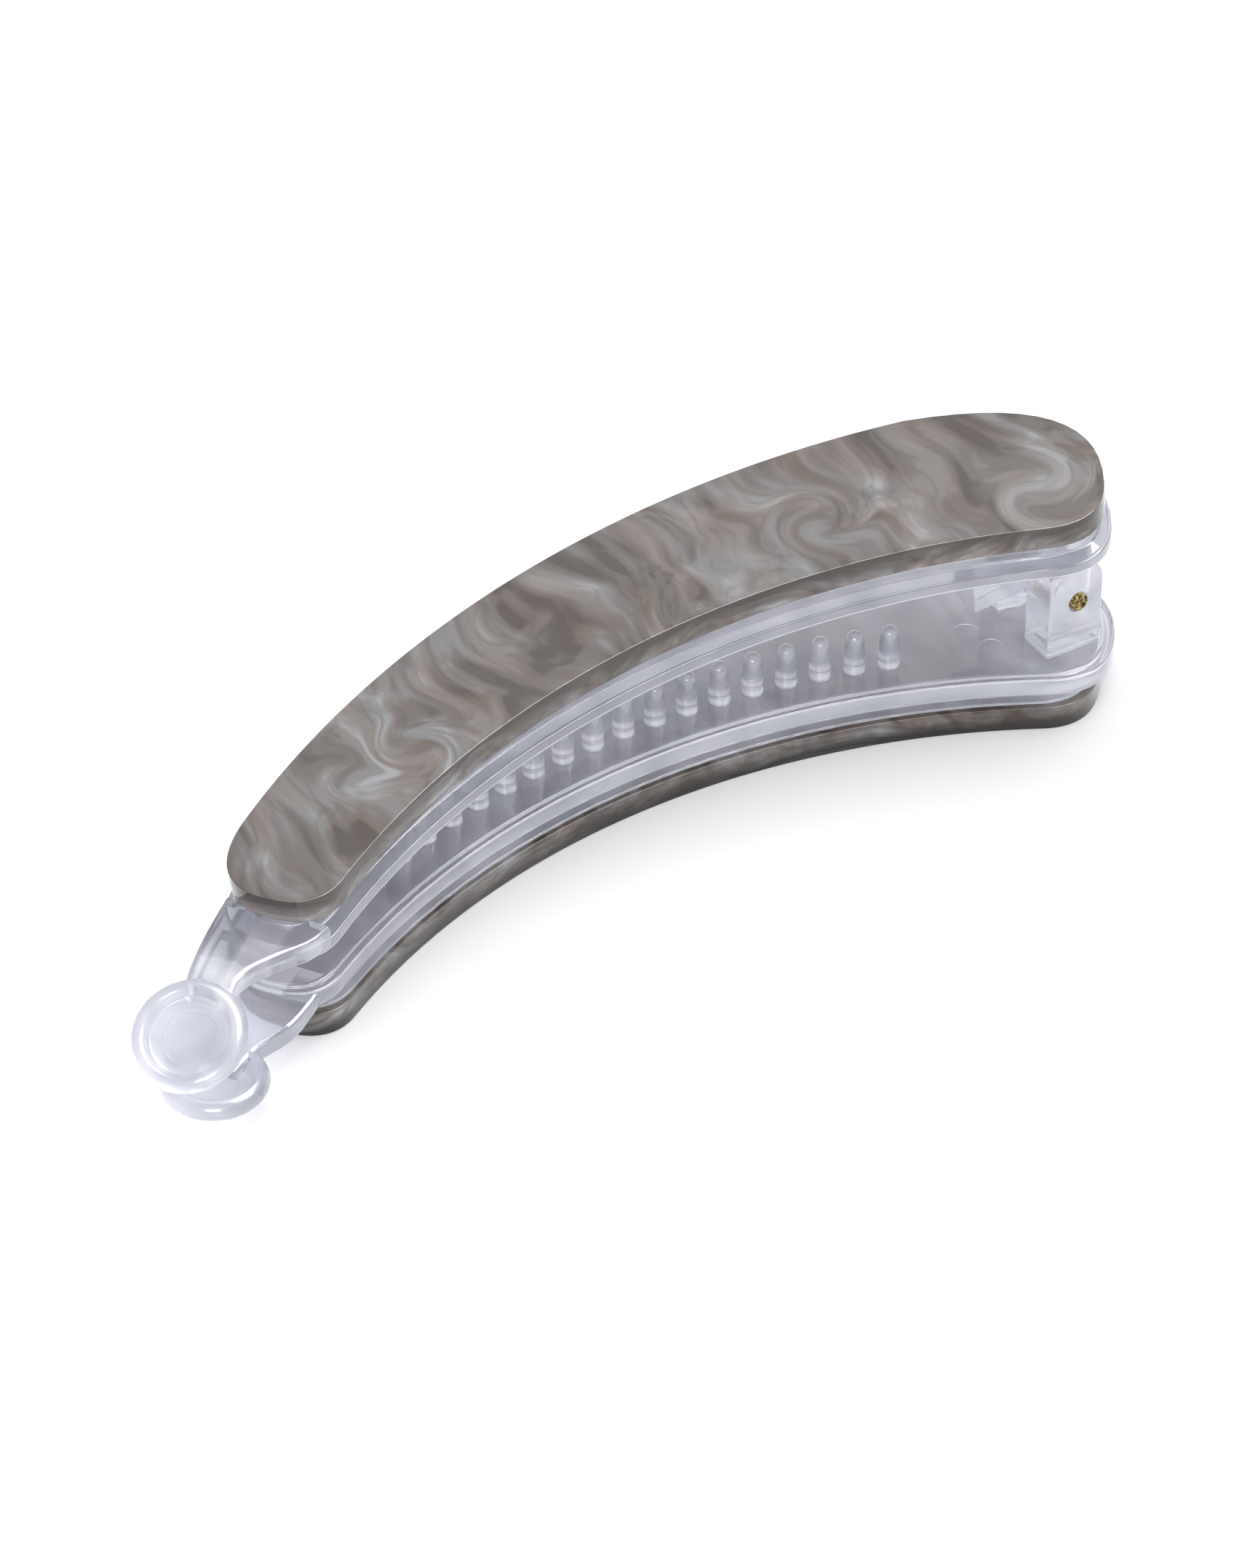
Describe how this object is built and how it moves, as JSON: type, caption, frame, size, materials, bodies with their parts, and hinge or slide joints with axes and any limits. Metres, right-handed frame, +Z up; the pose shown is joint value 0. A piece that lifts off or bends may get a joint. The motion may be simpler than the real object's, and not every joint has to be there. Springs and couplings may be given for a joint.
{
  "type": "banana hair clip",
  "caption": "Curved hair clip with a marbled cover plate on each clear jaw, a hinge at one end, round finger pads at the other and a row of teeth between.",
  "frame": {"origin": "under the middle of the clip, on the surface that its lower plate lies on", "axes": "+X along the chord towards the hinge, +Y towards the bulging side of the curve, +Z up through the jaws"},
  "size_m": [0.1322, 0.0434, 0.0307],
  "materials": {
    "marbled_acetate": "polished, pearly grey-taupe marbling",
    "clear_plastic": "clear, glossy, faintly lavender",
    "brass": "rough, knurled end"
  },
  "bodies": {
    "lower": {"lower_plate": "marbled_acetate", "lower_jaw": "clear_plastic", "hinge_pin": "brass"},
    "upper": {"upper_plate": "marbled_acetate", "upper_jaw": "clear_plastic"}
  },
  "joints": [
    {"name": "jaw_hinge", "type": "hinge", "parent": "lower", "child": "upper", "pos_m": [0.05861, 0.00188, 0.0124], "axis": [0, 1, 0], "range_deg": [0, 70]}
  ]
}
